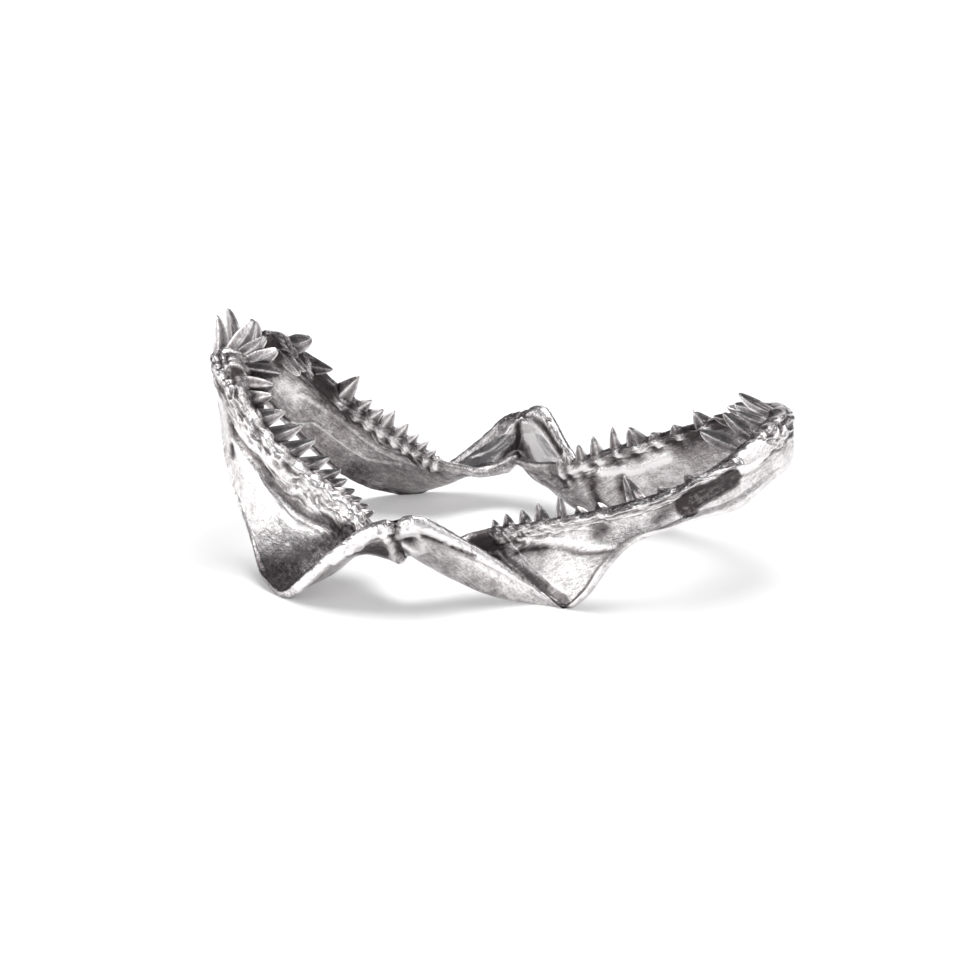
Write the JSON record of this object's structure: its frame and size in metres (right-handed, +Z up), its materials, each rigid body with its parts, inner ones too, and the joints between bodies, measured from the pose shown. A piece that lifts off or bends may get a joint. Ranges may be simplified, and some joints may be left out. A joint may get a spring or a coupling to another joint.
{
  "type": "cast metal shark jaw",
  "caption": "Life-size cast metal model of an opened-out shark jaw: upper and lower toothed arches joined at the rear, lying on the corners of their plates, teeth up",
  "frame": {"origin": "centre of the bounding box in plan, on the floor that the jaw lies on", "axes": "+X from the front of the lower jaw to the front of the upper jaw, the longest way; +Y to the shark's right; +Z up, out of the mouth, the shortest way"},
  "size_m": [0.3044, 0.2256, 0.119],
  "materials": {
    "cast_metal": "cast and polished bright, with the rough strands and pits of the casting left in the hollows"
  },
  "bodies": {
    "root": {"lower_jaw_left": "cast_metal", "lower_jaw_right": "cast_metal", "upper_jaw_left": "cast_metal", "upper_jaw_right": "cast_metal"}
  },
  "joints": []
}
